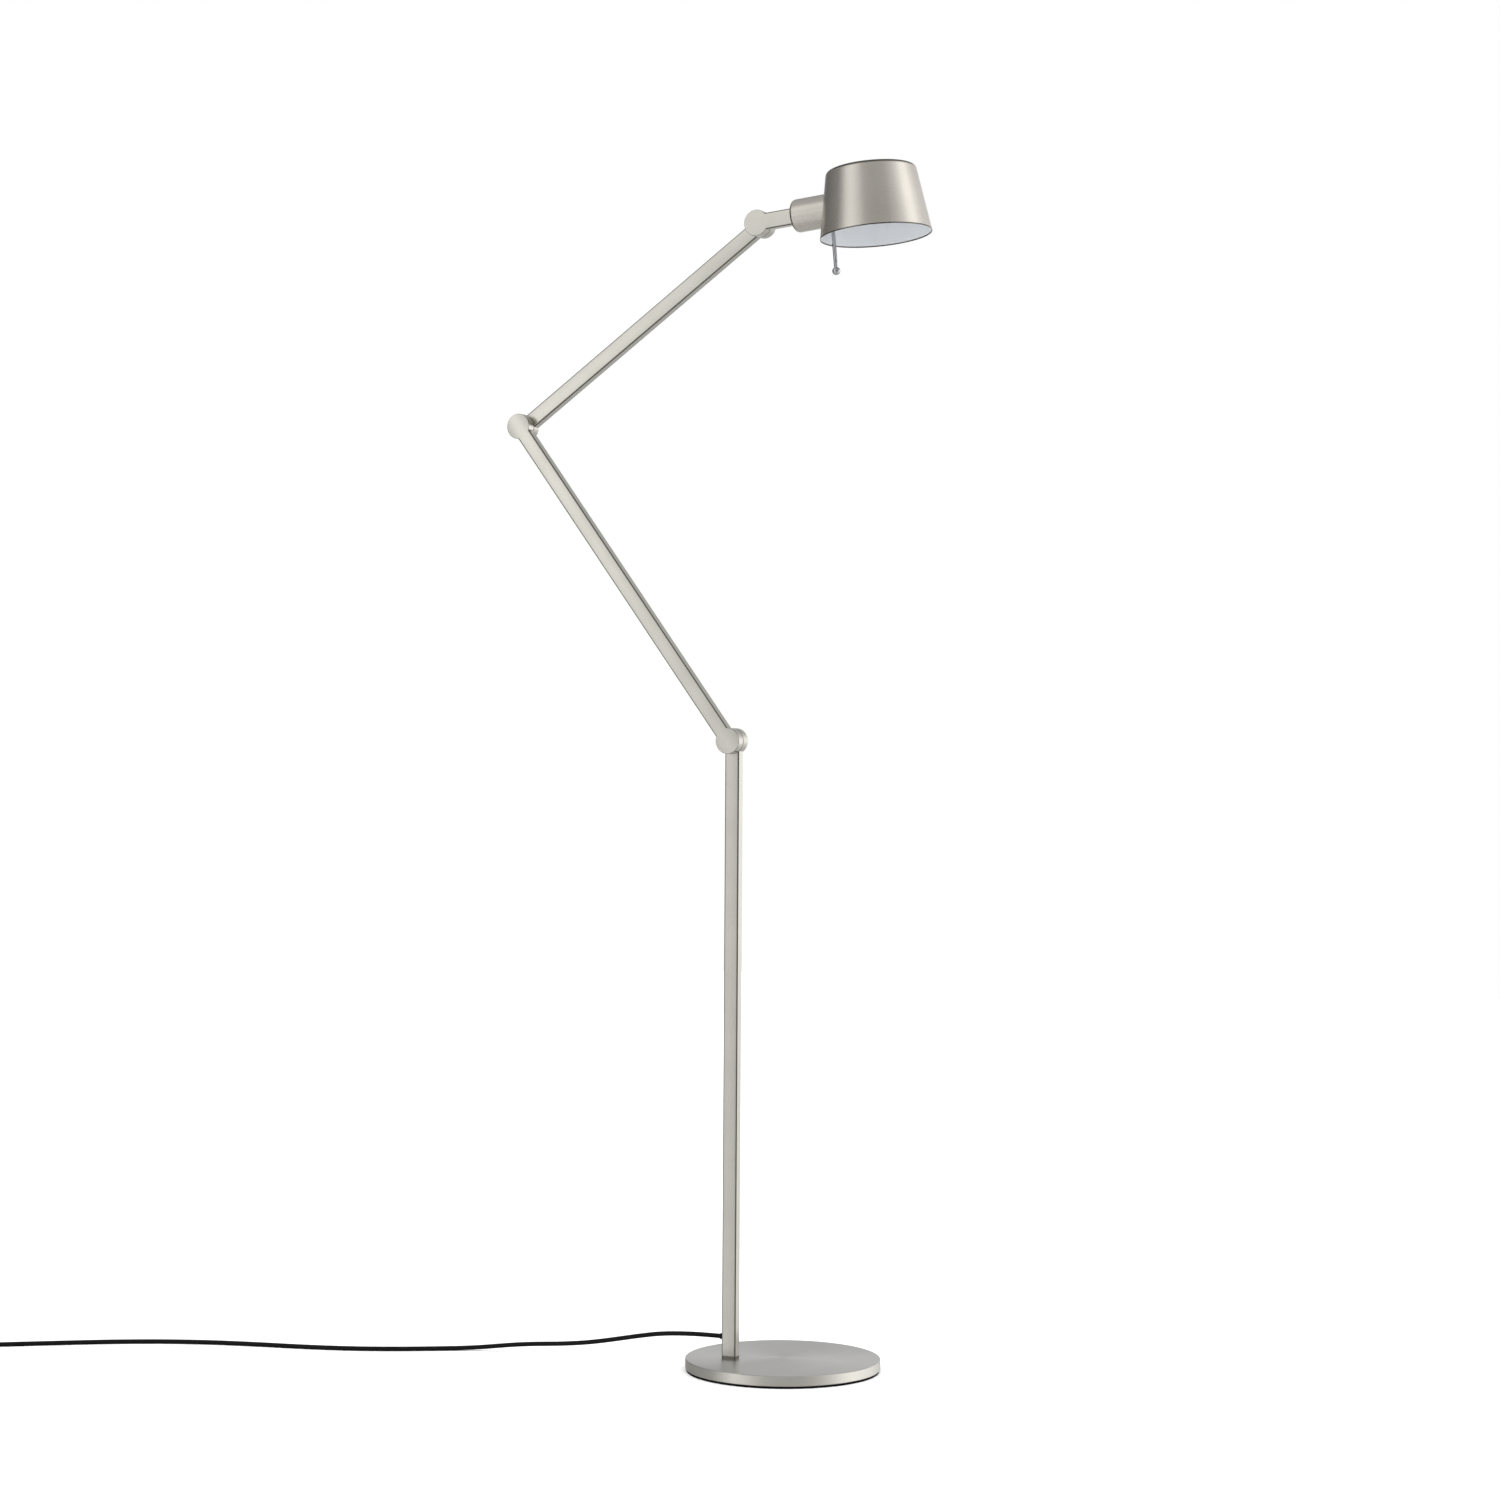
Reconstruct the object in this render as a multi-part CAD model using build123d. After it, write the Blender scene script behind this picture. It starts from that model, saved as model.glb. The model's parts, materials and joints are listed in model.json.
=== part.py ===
from build123d import *
from math import asin, cos, degrees, pi, radians, sin, tan
import os

# Adjustable arm floor lamp. Millimetres, +Z up. The origin is the centre of the base's underside.
# +X lies in the plane in which the arms fold, and +Y points to the back of the lamp.

# ---- Base ----
base_diameter = 250.0
base_thickness = 13.0
base_edge_round = 0.8
pad_diameter = 247.0
pad_thickness = 3.0
column_x = -57.0
column_y = -36.0

# ---- Rectangular tube that the column and the arms are cut from ----
tube_width = 20.0
tube_depth = 13.0
tube_wall = 1.2
tube_edge_round = 2.2
tube_fit = 0.05

# ---- Places and angles of the joints, as the lamp stands ----
lower_joint_height = 804.8
middle_arm_length = 516.5
upper_arm_length = 423.0
middle_arm_angle = 126.8
upper_arm_angle = 35.3
neck_angle = 5.5

# ---- Joint discs and the hardware inside them ----
disc_radius = 16.5
disc_edge_round = 0.5
disc_collar = 1.0
spigot_length = 14.0
joint_gap = 0.8
friction_washer_thickness = 0.7
friction_washer_radius = 15.5
stud_radius = 6.0
stud_bore_radius = 2.2
stud_past_nut = 0.2
stud_to_lead_gap = 2.0
running_clearance = 0.05
cavity_radius = 12.25
spring_washer_thickness = 1.0
spring_washer_radius = 10.5
nut_thickness = 2.5
nut_radius = 10.5
nut_slot_width = 2.5
nut_slot_depth = 1.4
cover_cap_thickness = 1.6
cap_edge_chamfer = 0.3

# ---- Leads inside the lamp ----
lead_radius = 1.2
lead_bend_radius = 2.3
lead_gap = 0.6
lead_passage = 4.2
lead_slot_width = 5.0
lead_slot_height = 3.0
pocket_radius = 4.0
pocket_cover = 2.6

# ---- Column foot ----
foot_flange = 4.0
foot_spigot = 18.0
foot_screw_radius = 4.0
foot_screw_thread = 14.0
foot_screw_head_radius = 8.0
foot_screw_head_height = 4.4
foot_pin_radius = 1.5
foot_pin_offset = 6.8
foot_pin_length = 12.0
pin_end_gap = 0.2
hole_past_pin = 0.5
hole_past_screw = 1.0
screw_head_recess = 0.4
screw_recess_clearance = 0.5
screw_socket_radius = 3.4
screw_socket_depth = 2.6

# ---- Mains cord, its grommet and its anchor ----
cord_diameter = 6.0
cord_exit_height = 43.4
grommet_neck_radius = 3.6
grommet_flare_radius = 4.6
grommet_tip_radius = 3.3
grommet_outside = 5.0
grommet_rim = 0.8
grommet_inside = 1.0
anchor_width = 7.0
anchor_side_gap = 0.8
anchor_height = 14.0
floor_clearance = 0.05

# ---- Neck and head ----
neck_width = 21.0
neck_end = 52.0
neck_plug_length = 16.0
swivel_gap = 0.5
swivel_washer_thickness = 0.4
swivel_washer_radius = 9.0
nipple_side_gap = 0.3
nipple_bore_radius = 3.0
nipple_past_neck = 9.5
swivel_nut_thickness = 3.0
swivel_nut_radius = 8.0
cover_past_holder = 7.0
cover_wall = 1.0
cover_back_wall = 1.6
cover_edge_round = 5.0
cover_seat_x = 66.0
seat_thickness = 1.5
seat_hole_radius = 6.0
holder_radius = 14.0
holder_start = 67.5
holder_end = 119.0
holder_base_wall = 6.0
holder_bore_radius = 7.0
shell_fit = 0.05

# ---- Shade ----
shade_centre_x = 160.5
shade_top_radius = 56.5
shade_bottom_radius = 70.5
shade_height = 84.0
shade_wall = 1.0
shade_top_round = 6.0
bracket_wall = 5.0
bracket_face_x = 106.5
ring_thickness = 5.0
ring_wall = 4.0
ring_edge_chamfer = 0.5
holder_clearance = 0.1

# ---- Aiming handle and bulb ----
handle_x = 102.6
handle_rod_radius = 2.5
handle_thread_depth = 3.5
handle_ball_radius = 5.2
handle_ball_drop = 77.6
handle_rod_in_ball = 1.5
handle_rod_end_gap = 0.1
bulb_cap_radius = 6.8
bulb_cap_length = 22.0
bulb_cap_start = 98.0
bulb_radius = 22.0
bulb_centre_x = 159.0
bulb_neck_radius = 6.5
bulb_wall = 0.8

# ---- Plug ----
plug_length = 36.0
plug_shoulder = 16.2
plug_width = 26.0
plug_tail_width = 13.0
plug_height = 13.6
plug_edge_round = 2.5
plug_sleeve_length = 14.0
plug_sleeve_radius = 4.4
plug_sleeve_wall = 0.6
pin_radius = 2.0
pin_length = 19.0
pin_spacing = 18.6
pin_tip_round = 1.6

# ---- Cord route, chosen by hand from the grommet to the coil ----
cord_radius = cord_diameter / 2
floor_level = cord_radius + floor_clearance
cord_route = [
    (-95.0, column_y, cord_exit_height),
    (-126.0, column_y, 42.2),
    (-158.0, column_y, 39.4),
    (-188.0, column_y, 34.0),
    (-217.0, column_y - 0.2, 28.0),
    (-246.0, column_y - 0.8, 22.2),
    (-275.0, column_y - 2.4, 17.6),
    (-305.0, column_y - 5.6, 14.6),
    (-335.0, column_y - 9.6, 12.6),
    (-362.0, column_y - 13.6, 10.2),
    (-386.0, column_y - 18.4, 7.3),
    (-409.0, column_y - 26.4, 4.8),
    (-433.0, column_y - 38.0, 3.4),
    (-463.0, -91.0, floor_level),
    (-506.0, -117.0, floor_level),
    (-560.0, -142.0, floor_level),
    (-620.0, -160.0, floor_level),
    (-685.0, -173.0, floor_level),
    (-748.0, -189.0, floor_level),
    (-808.0, -213.0, floor_level),
    (-866.0, -245.0, floor_level),
    (-920.0, -283.0, floor_level),
    (-974.0, -322.5, floor_level),
    (-1004.0, -344.7, floor_level),
    (-1022.8, -358.6, floor_level),
]

# The put-away cord: a flat coil of two layers, and the short tail from it to the plug.
coil_centre = (-1057.4, -335.8)
coil_inner_radius = 22.0
coil_outer_radius = 42.2
coil_height = 12.4
coil_edge_round = 2.6
tail_heading = (-0.63, 0.777)
tail_start = (-1098.1, -343.1, 8.7)
tail_middle = (-1107.4, -331.0, 7.9)
tail_end = (-1116.2, -319.9, 6.85)

# ---- Levels and layers worked out from the sizes above ----
base_top = pad_thickness + base_thickness
rear_face_y = column_y - tube_depth / 2
front_face_y = rear_face_y - joint_gap
seam = disc_radius + disc_collar
spigot_inset = tube_wall + tube_fit
pocket_depth = tube_depth - pocket_cover
lead_level_front = pocket_depth - lead_gap - lead_radius
lead_level_rear = tube_depth - cover_cap_thickness - lead_gap - lead_radius
stud_in_front_disc = lead_level_front - lead_radius - stud_to_lead_gap
stud_past_mating_face = tube_depth - cover_cap_thickness - lead_passage
nut_level = stud_past_mating_face - stud_past_nut - nut_thickness
cavity_floor = nut_level - spring_washer_thickness
neck_centre_y = front_face_y - tube_depth / 2
nipple_radius = tube_depth / 2 - tube_wall - nipple_side_gap
cover_radius = holder_radius + cover_past_holder
bracket_radius = holder_radius + bracket_wall
ring_radius = holder_radius + ring_wall
anchor_depth = tube_depth - 2 * (tube_wall + anchor_side_gap)
shade_slope = (shade_bottom_radius - shade_top_radius) / shade_height


def arm_end(start, length, angle):
    """The X, Z point at the far end of an arm that leaves start at an angle from +X."""
    return (start[0] + length * cos(radians(angle)), start[1] + length * sin(radians(angle)))


lower_joint = (column_x, lower_joint_height)
elbow_joint = arm_end(lower_joint, middle_arm_length, middle_arm_angle)
head_joint = arm_end(elbow_joint, upper_arm_length, upper_arm_angle)


def rear_plane(joint, angle):
    """The rear layer's mating face at a joint: x runs along the arm and z into the rear disc."""
    return Plane(
        origin=(joint[0], rear_face_y, joint[1]),
        x_dir=(cos(radians(angle)), 0, sin(radians(angle))),
        z_dir=(0, 1, 0),
    )


def front_plane(joint, angle):
    """The front layer's mating face at a joint: x runs along the arm and z into the front disc."""
    return Plane(
        origin=(joint[0], front_face_y, joint[1]),
        x_dir=(cos(radians(angle)), 0, sin(radians(angle))),
        z_dir=(0, -1, 0),
    )


# The head's own frame: x along the neck, y to the back, z square to the neck, from the head joint.
head_frame = Plane(
    origin=(head_joint[0], neck_centre_y, head_joint[1]),
    x_dir=(cos(radians(neck_angle)), 0, sin(radians(neck_angle))),
    z_dir=(-sin(radians(neck_angle)), 0, cos(radians(neck_angle))),
)


# ---- Shared shapes ----
on_plane = (Align.CENTER, Align.CENTER, Align.MIN)
along_arm = (Align.MIN, Align.CENTER, Align.MIN)
from_end = (Align.MIN, Align.CENTER, Align.CENTER)


def ring(outer, inner, thickness):
    """A flat ring that stands on its local XY plane."""
    return Cylinder(outer, thickness, align=on_plane) - Cylinder(inner, thickness, align=on_plane)


def post(radius, bottom, top):
    """A round bar along local z from one level to another."""
    return Pos(0, 0, bottom) * Cylinder(radius, top - bottom, align=on_plane)


def rounded_bar(length, width, depth, edge_round):
    """A bar along local x with rounded long edges. Its depth runs up from z = 0."""
    bar = Box(length, width, depth, align=along_arm)
    return fillet(bar.edges().filter_by(Axis.X), edge_round)


def lead_path(points):
    """Straight runs joined by the lead's own bend radius."""
    return FilletPolyline(*points, radius=lead_bend_radius)


def swept_round(path, radius):
    """A round section carried along a path."""
    start = Plane(origin=path @ 0, z_dir=path % 0)
    return sweep(start * Circle(radius), path=path)


def lying_bar(radius, length):
    """A round bar that starts at the origin and runs along local x."""
    return Rot(0, 90, 0) * Cylinder(radius, length, align=on_plane)


def head_cylinder(radius, start, end):
    """A round bar along the neck's axis, in the head's frame."""
    return Pos(start, 0, 0) * lying_bar(radius, end - start)


# ---- Joint pieces, in the mating face's frame: x along the arm, z into the disc ----
def disc_blank(width):
    """The disc with the square collar that the tube butts on and the spigot that fills the tube."""
    disc = Cylinder(disc_radius, tube_depth, align=on_plane)
    disc = fillet(disc.edges().filter_by(GeomType.CIRCLE), disc_edge_round)
    collar = rounded_bar(seam, width, tube_depth, tube_edge_round)
    spigot = Box(
        spigot_length,
        width - 2 * spigot_inset,
        tube_depth - 2 * spigot_inset,
        align=along_arm,
    )
    return disc + collar + Pos(seam, 0, spigot_inset) * spigot


def lead_slot(level):
    """The channel that lets the lead run from the joint's axis out through the spigot."""
    slot = Box(seam + spigot_length, lead_slot_width, lead_slot_height, align=from_end)
    return Pos(0, 0, level) * slot


def front_disc(width):
    """The disc that holds the stud: plain outside, with a blind threaded bore and a lead pocket."""
    bore = post(stud_radius + tube_fit, 0, stud_in_front_disc)
    pocket = post(pocket_radius, stud_in_front_disc, pocket_depth)
    return disc_blank(width) - bore - pocket - lead_slot(lead_level_front)


def rear_disc(width):
    """The disc that turns on the stud, with a cavity behind it for the nut and the lead."""
    bore = post(stud_radius + running_clearance, 0, cavity_floor)
    cavity = post(cavity_radius, cavity_floor, tube_depth)
    return disc_blank(width) - bore - cavity - lead_slot(lead_level_rear)


def stud():
    """The hollow stud, in the rear disc's frame, with the bore that the leads pass through."""
    front_end = -joint_gap - stud_in_front_disc
    body = post(stud_radius, front_end, stud_past_mating_face)
    return body - post(stud_bore_radius, front_end, stud_past_mating_face)


def friction_washer():
    """The thin washer between the discs, which lies on the rear one."""
    washer = ring(friction_washer_radius, stud_radius + running_clearance, friction_washer_thickness)
    return Pos(0, 0, -friction_washer_thickness) * washer


def spring_washer():
    """The spring washer under the nut."""
    washer = ring(spring_washer_radius, stud_radius + tube_fit, spring_washer_thickness)
    return Pos(0, 0, cavity_floor) * washer


def joint_nut():
    """The round nut with four spanner slots in its rim."""
    nut = Pos(0, 0, nut_level) * ring(nut_radius, stud_radius + tube_fit, nut_thickness)
    notch = Box(2 * nut_slot_depth, nut_slot_width, nut_thickness, align=on_plane)
    for quarter in range(4):
        nut -= Rot(0, 0, 90 * quarter) * Pos(nut_radius, 0, nut_level) * notch
    return nut


def cover_cap():
    """The cap that closes the rear disc's cavity."""
    radius = cavity_radius - tube_fit
    cap = post(radius, tube_depth - cover_cap_thickness, tube_depth)
    rim = cap.edges().filter_by(GeomType.CIRCLE).sort_by(Axis.Z)[-1]
    return chamfer(rim, cap_edge_chamfer)


def arm_tube(start, end, width):
    """A rectangular tube between two cut ends, along local x."""
    length = end - start
    outside = rounded_bar(length, width, tube_depth, tube_edge_round)
    inside = Box(
        length,
        width - 2 * tube_wall,
        tube_depth - 2 * tube_wall,
        align=along_arm,
    )
    return Pos(start, 0, 0) * (outside - Pos(0, 0, tube_wall) * inside)


def joint_to_joint_lead(length, level, start):
    """A lead that leaves one joint's axis, runs along the arm and enters the next joint's axis."""
    path = lead_path([(0, 0, start), (0, 0, level), (length, 0, level), (length, 0, start)])
    return swept_round(path, lead_radius)


def joint_hardware(name, joint, angle):
    """The stud, washers, nut and cap of one joint, named after it."""
    plane = rear_plane(joint, angle)
    return {
        f"{name}_stud": plane * stud(),
        f"{name}_friction_washer": plane * friction_washer(),
        f"{name}_spring_washer": plane * spring_washer(),
        f"{name}_nut": plane * joint_nut(),
        f"{name}_cover_cap": plane * cover_cap(),
    }


# ---- Base and column ----
def base_plate():
    """The round steel plate, drilled for the screw and the pin that hold the column."""
    plate = Pos(0, 0, pad_thickness) * Cylinder(base_diameter / 2, base_thickness, align=on_plane)
    plate = fillet(plate.edges().filter_by(GeomType.CIRCLE), base_edge_round)
    foot = Pos(column_x, column_y, 0)
    screw_hole = post(foot_screw_radius + tube_fit, pad_thickness, base_top)
    recess_radius = foot_screw_head_radius + screw_recess_clearance
    head_recess = post(recess_radius, pad_thickness, pad_thickness + foot_screw_head_height)
    pin_hole = post(foot_pin_radius + tube_fit, base_top - foot_pin_length / 2, base_top)
    return plate - foot * (screw_hole + head_recess) - foot * Pos(foot_pin_offset, 0, 0) * pin_hole


def base_pad():
    """The dark pad under the plate."""
    return Cylinder(pad_diameter / 2, pad_thickness, align=on_plane)


def foot_screw():
    """The screw that pulls the column's foot down on the plate."""
    head_bottom = pad_thickness + screw_head_recess
    head_top = pad_thickness + foot_screw_head_height
    head = post(foot_screw_head_radius, head_bottom, head_top)
    socket = Pos(0, 0, head_bottom) * extrude(RegularPolygon(screw_socket_radius, 6), screw_socket_depth)
    shank = post(foot_screw_radius, head_top, base_top + foot_screw_thread)
    return Pos(column_x, column_y, 0) * (head + shank - socket)


def foot_pin():
    """The pin that keeps the column from turning on the plate."""
    half = foot_pin_length / 2
    pin = post(foot_pin_radius, base_top - half + pin_end_gap, base_top + half)
    return Pos(column_x + foot_pin_offset, column_y, 0) * pin


def column_plane():
    """The column's frame: x up the column from the base's top, z from its front face to its back."""
    return Plane(origin=(column_x, rear_face_y, base_top), x_dir=(0, 0, 1), z_dir=(0, 1, 0))


def column_foot():
    """The block in the column's lower end, with a flange the size of the tube."""
    flange = rounded_bar(foot_flange, tube_width, tube_depth, tube_edge_round)
    spigot = Box(
        foot_spigot - foot_flange,
        tube_width - 2 * spigot_inset,
        tube_depth - 2 * spigot_inset,
        align=along_arm,
    )
    block = column_plane() * (flange + Pos(foot_flange, 0, spigot_inset) * spigot)
    foot = Pos(column_x, column_y, 0)
    screw_hole = post(foot_screw_radius + tube_fit, base_top, base_top + foot_screw_thread + hole_past_screw)
    pin_hole = post(foot_pin_radius + tube_fit, base_top, base_top + foot_pin_length / 2 + hole_past_pin)
    return block - foot * screw_hole - foot * Pos(foot_pin_offset, 0, 0) * pin_hole


def column_tube():
    """The upright tube, with the hole that the cord's grommet sits in."""
    rise = lower_joint_height - base_top
    tube = column_plane() * arm_tube(foot_flange, rise - seam, tube_width)
    return tube - x_bar(grommet_neck_radius + tube_fit, column_x - tube_width, column_x)


def x_bar(radius, start, end):
    """A round bar along X at the cord's exit."""
    return Pos(start, column_y, cord_exit_height) * lying_bar(radius, end - start)


def cord_grommet():
    """The flared rubber grommet moulded on the cord, with its neck through the tube's wall."""
    wall_x = column_x - tube_width / 2
    neck = x_bar(grommet_neck_radius, wall_x, wall_x + tube_wall + grommet_inside)
    profile = Polyline(
        (wall_x, 0),
        (wall_x, grommet_flare_radius),
        (wall_x - grommet_rim, grommet_flare_radius),
        (wall_x - grommet_outside, grommet_tip_radius),
        (wall_x - grommet_outside, 0),
        close=True,
    )
    flare = revolve(make_face(profile), axis=Axis.X)
    return neck + Pos(0, column_y, cord_exit_height) * flare


def cord_anchor():
    """The clamp block inside the column, which holds the cord's end."""
    inner_x = column_x - tube_width / 2 + tube_wall + grommet_inside
    block = Box(anchor_width, anchor_depth, anchor_height, align=from_end)
    return Pos(inner_x, column_y, cord_exit_height) * block


def column_lead():
    """The lead from the cord's anchor up the column and through the lower joint."""
    anchor_middle = column_x - tube_width / 2 + tube_wall + grommet_inside + anchor_width / 2
    level_y = rear_face_y + lead_level_rear
    path = lead_path(
        [
            (anchor_middle, level_y, cord_exit_height + anchor_height / 2),
            (anchor_middle, level_y, cord_exit_height + 30),
            (column_x, level_y, cord_exit_height + 60),
            (column_x, level_y, lower_joint_height),
            (column_x, rear_face_y, lower_joint_height),
        ]
    )
    return swept_round(path, lead_radius)


def column_parts():
    """The base and the column, up to the disc of the lower joint."""
    return {
        "base_plate": base_plate(),
        "base_pad": base_pad(),
        "foot_screw": foot_screw(),
        "foot_pin": foot_pin(),
        "column_foot": column_foot(),
        "column_tube": column_tube(),
        "column_lead": column_lead(),
        "cord_grommet": cord_grommet(),
        "cord_anchor": cord_anchor(),
        "lower_joint_rear_disc": rear_plane(lower_joint, -90) * rear_disc(tube_width),
    }


# ---- Arms ----
def middle_arm_parts():
    """The middle arm lies in the front layer and holds the studs of both its joints."""
    here = front_plane(lower_joint, middle_arm_angle)
    back = front_plane(elbow_joint, middle_arm_angle + 180)
    return {
        "lower_joint_front_disc": here * front_disc(tube_width),
        "middle_arm_tube": here * arm_tube(seam, middle_arm_length - seam, tube_width),
        "middle_arm_lead": here * joint_to_joint_lead(middle_arm_length, lead_level_front, -joint_gap),
        "elbow_front_disc": back * front_disc(tube_width),
    }


def upper_arm_parts():
    """The upper arm lies in the rear layer and turns on the studs of both its joints."""
    here = rear_plane(elbow_joint, upper_arm_angle)
    back = rear_plane(head_joint, upper_arm_angle + 180)
    return {
        "elbow_rear_disc": here * rear_disc(tube_width),
        "upper_arm_tube": here * arm_tube(seam, upper_arm_length - seam, tube_width),
        "upper_arm_lead": here * joint_to_joint_lead(upper_arm_length, lead_level_rear, 0),
        "head_joint_rear_disc": back * rear_disc(tube_width),
    }


# ---- Neck, in the front layer ----
def neck_end_plug():
    """The block in the neck's far end that the swivel nipple is screwed into."""
    block = Box(
        neck_plug_length,
        neck_width - 2 * spigot_inset,
        tube_depth - 2 * spigot_inset,
        align=(Align.MAX, Align.CENTER, Align.CENTER),
    )
    bore = head_cylinder(nipple_radius + tube_fit, neck_end - neck_plug_length, neck_end)
    turned = Rot(90, 0, 0) * block
    return head_frame * (Pos(neck_end, 0, 0) * turned - bore)


def swivel_nipple():
    """The hollow nipple on which the whole head turns."""
    end = neck_end + nipple_past_neck
    bar = head_cylinder(nipple_radius, neck_end - neck_plug_length, end)
    bore = head_cylinder(nipple_bore_radius, neck_end - neck_plug_length, end)
    return head_frame * (bar - bore)


def swivel_nut():
    """The nut that keeps the head on its nipple."""
    start = neck_end + swivel_gap + cover_back_wall + swivel_gap
    nut = head_cylinder(swivel_nut_radius, start, start + swivel_nut_thickness)
    return head_frame * (nut - head_cylinder(nipple_radius + tube_fit, start, start + swivel_nut_thickness))


def swivel_washers():
    """The two washers of the swivel, one each side of the cover's back wall."""
    wall_start = neck_end + swivel_gap
    nut_start = wall_start + cover_back_wall + swivel_gap
    washers = []
    for start in (neck_end, nut_start - swivel_washer_thickness):
        end = start + swivel_washer_thickness
        bore = head_cylinder(nipple_radius + tube_fit, start, end)
        washers.append(head_frame * (head_cylinder(swivel_washer_radius, start, end) - bore))
    return Compound(children=washers)


def neck_lead():
    """The lead from the head joint along the neck and into the nipple."""
    level_y = -(lead_level_front - tube_depth / 2)
    mating_y = tube_depth / 2 + joint_gap
    path = lead_path(
        [
            (0, mating_y, 0),
            (0, level_y, 0),
            (seam + spigot_length, level_y, 0),
            (neck_end - neck_plug_length + 2.5, 0, 0),
            (neck_end + nipple_past_neck, 0, 0),
        ]
    )
    return head_frame * swept_round(path, lead_radius)


def neck_parts():
    """The short neck between the head joint and the head's swivel."""
    here = front_plane(head_joint, neck_angle)
    return {
        "head_joint_front_disc": here * front_disc(neck_width),
        "neck_tube": here * arm_tube(seam, neck_end, neck_width),
        "neck_end_plug": neck_end_plug(),
        "swivel_nipple": swivel_nipple(),
        "swivel_nut": swivel_nut(),
        "swivel_washers": swivel_washers(),
        "neck_lead": neck_lead(),
    }


# ---- Head, in the head's frame ----
def shade_cone(offset, bottom, top):
    """The shade's cone, moved in by offset along its radius, between two heights from its middle."""
    middle_radius = (shade_bottom_radius + shade_top_radius) / 2
    lower = middle_radius - shade_slope * bottom - offset
    upper = middle_radius - shade_slope * top - offset
    cone = Cone(lower, upper, top - bottom, align=on_plane)
    return Pos(shade_centre_x, 0, bottom) * cone


def shade():
    """The closed-top spun shade, with its hole for the lamp holder."""
    half = shade_height / 2
    outside = shade_cone(0, -half, half)
    top_edge = outside.edges().filter_by(GeomType.CIRCLE).sort_by(Axis.Z)[-1]
    outside = fillet(top_edge, shade_top_round)
    inside = shade_cone(shade_wall, -half, half - shade_wall)
    inner_edge = inside.edges().filter_by(GeomType.CIRCLE).sort_by(Axis.Z)[-1]
    inside = fillet(inner_edge, shade_top_round - shade_wall)
    hole_start = shade_centre_x - shade_bottom_radius
    hole = head_cylinder(holder_radius + holder_clearance, hole_start, shade_centre_x)
    return head_frame * (outside - inside - hole)


def holder_cover():
    """The round cover behind the shade, with its rim cut to the shade's cone."""
    start = neck_end + swivel_gap
    body = head_cylinder(cover_radius, start, shade_centre_x)
    back_edge = body.edges().filter_by(GeomType.CIRCLE).sort_by(Axis.X)[0]
    body = fillet(back_edge, cover_edge_round)
    deep = head_cylinder(cover_radius - 2 * cover_wall, start + cover_back_wall, shade_centre_x)
    inner_edge = deep.edges().filter_by(GeomType.CIRCLE).sort_by(Axis.X)[0]
    deep = fillet(inner_edge, cover_edge_round - cover_back_wall)
    wide = head_cylinder(cover_radius - cover_wall, cover_seat_x, shade_centre_x)
    hole = head_cylinder(nipple_radius + running_clearance, start, shade_centre_x)
    half = shade_height / 2
    return head_frame * (body - deep - wide - hole - shade_cone(0, -half, half))


def holder_seat():
    """The plate that rests on the step inside the cover and carries the lamp holder."""
    plate = head_cylinder(cover_radius - cover_wall - shell_fit, cover_seat_x, cover_seat_x + seat_thickness)
    hole = head_cylinder(seat_hole_radius, cover_seat_x, cover_seat_x + seat_thickness)
    return head_frame * (plate - hole)


def lamp_holder():
    """The insulating lamp holder, open at the front for the bulb's cap."""
    body = head_cylinder(holder_radius, holder_start, holder_end)
    bore = head_cylinder(holder_bore_radius, holder_start + holder_base_wall, holder_end)
    lead_hole = head_cylinder(lead_radius + tube_fit, holder_start, holder_start + holder_base_wall)
    return head_frame * (body - bore - lead_hole)


def shade_bracket():
    """The block inside the shade, shaped to its wall on one side and flat on the other."""
    start = shade_centre_x - shade_bottom_radius
    block = head_cylinder(bracket_radius, start, bracket_face_x)
    bore = head_cylinder(holder_radius + holder_clearance, start, bracket_face_x)
    half = shade_height / 2
    reach = shade_cone(shade_wall, -half, half - shade_wall)
    socket = handle_bar(handle_rod_radius + tube_fit, handle_thread_top() + tube_fit, bracket_radius)
    return head_frame * ((block & reach) - bore - socket)


def handle_thread_top():
    """How far from the neck's axis the handle's rod starts, inside the bracket."""
    return bracket_radius - handle_thread_depth


def handle_bar(radius, near, far):
    """A round bar along the handle's line, between two distances below the neck's axis."""
    return Pos(handle_x, 0, 0) * post(radius, -far, -near)


def shade_ring():
    """The threaded ring that clamps the bracket and the shade against the cover."""
    end = bracket_face_x + ring_thickness
    outer = head_cylinder(ring_radius, bracket_face_x, end)
    outer = chamfer(outer.edges().filter_by(GeomType.CIRCLE), ring_edge_chamfer)
    return head_frame * (outer - head_cylinder(holder_radius + tube_fit, bracket_face_x, end))


def handle_rod():
    """The thin rod that hangs from the bracket."""
    ball_top = handle_ball_drop - handle_ball_radius
    start = handle_thread_top() + handle_rod_end_gap
    return head_frame * handle_bar(handle_rod_radius, start, ball_top + handle_rod_in_ball)


def handle_ball():
    """The ball on the rod's end, bored for the rod."""
    ball = Pos(handle_x, 0, -handle_ball_drop) * Sphere(handle_ball_radius)
    bore_start = handle_ball_drop - handle_ball_radius - 1
    bore_end = handle_ball_drop - handle_ball_radius + handle_rod_in_ball + tube_fit
    return head_frame * (ball - handle_bar(handle_rod_radius + tube_fit, bore_start, bore_end))


def bulb_cap():
    """The bulb's screw cap, with its contact button, in the lamp holder's bore."""
    shell = head_cylinder(bulb_cap_radius, bulb_cap_start, bulb_cap_start + bulb_cap_length)
    button = head_cylinder(bulb_cap_radius / 2, holder_start + holder_base_wall, bulb_cap_start)
    return head_frame * (shell + button)


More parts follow.
